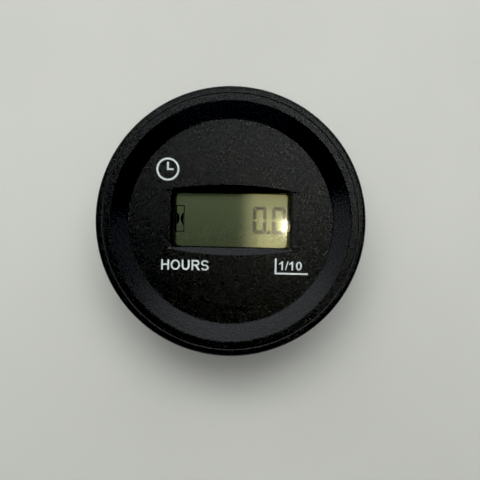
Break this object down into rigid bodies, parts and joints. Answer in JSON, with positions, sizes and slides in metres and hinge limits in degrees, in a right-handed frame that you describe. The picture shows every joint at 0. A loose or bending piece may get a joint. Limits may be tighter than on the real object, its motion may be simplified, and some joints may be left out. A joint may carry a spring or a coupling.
{
  "type": "panel hour meter",
  "caption": "Round panel hour meter: dished black bezel with a scooped display window, sealed case, tab terminals and a stirrup clamp that grips the panel from behind.",
  "frame": {"origin": "centre of the panel seat, on the back face of the gasket where the front of the panel touches", "axes": "+Z out of the dial towards the reader, +Y to the top of the display, +X to its right"},
  "size_m": [0.058, 0.058, 0.0434],
  "materials": {
    "front_cover": "black moulded plastic with a fine spark-eroded grain",
    "window_lens": "clear acrylic, polished",
    "cover_seal": "black nitrile",
    "case": "black moulded plastic with a fine spark-eroded grain",
    "panel_gasket": "black closed-cell sheet",
    "clamp_bracket": "zinc-plated steel strip",
    "clamp_studs": "zinc-plated steel",
    "spring_washers": "plated spring steel",
    "clamp_nuts": "zinc-plated steel",
    "terminal_upper": "tin-plated brass",
    "terminal_lower": "tin-plated brass",
    "front_polariser": "grey-green polarising film",
    "front_glass": "float glass",
    "rear_glass": "float glass",
    "reflector": "polariser with a satin reflector, grey green",
    "display_holder": "natural white plastic",
    "contact_strip_upper": "layered silicone rubber",
    "contact_strip_lower": "layered silicone rubber",
    "circuit_board": "glass-epoxy board with green solder resist",
    "board_screws": "plated steel",
    "lithium_cell": "nickel-plated steel can",
    "cell_strip_inner": "nickel strip",
    "cell_strip_outer": "nickel strip",
    "controller_chip": "black epoxy with tinned leads",
    "memory_chip": "black epoxy with tinned leads",
    "timing_crystal": "tinned can",
    "filter_capacitor": "aluminium can in a dark sleeve",
    "bridge_rectifier": "black epoxy",
    "surge_varistor": "blue epoxy coating",
    "dropper_resistors": "tan lacquer"
  },
  "bodies": {
    "root": {"front_cover": "front_cover", "window_lens": "window_lens", "cover_seal": "cover_seal", "case": "case", "panel_gasket": "panel_gasket", "clamp_bracket": "clamp_bracket", "clamp_studs": "clamp_studs", "spring_washers": "spring_washers", "clamp_nuts": "clamp_nuts", "terminal_upper": "terminal_upper", "terminal_lower": "terminal_lower", "front_polariser": "front_polariser", "front_glass": "front_glass", "rear_glass": "rear_glass", "reflector": "reflector", "display_holder": "display_holder", "contact_strip_upper": "contact_strip_upper", "contact_strip_lower": "contact_strip_lower", "circuit_board": "circuit_board", "board_screws": "board_screws", "lithium_cell": "lithium_cell", "cell_strip_inner": "cell_strip_inner", "cell_strip_outer": "cell_strip_outer", "controller_chip": "controller_chip", "memory_chip": "memory_chip", "timing_crystal": "timing_crystal", "filter_capacitor": "filter_capacitor", "bridge_rectifier": "bridge_rectifier", "surge_varistor": "surge_varistor", "dropper_resistors": "dropper_resistors"}
  },
  "joints": []
}
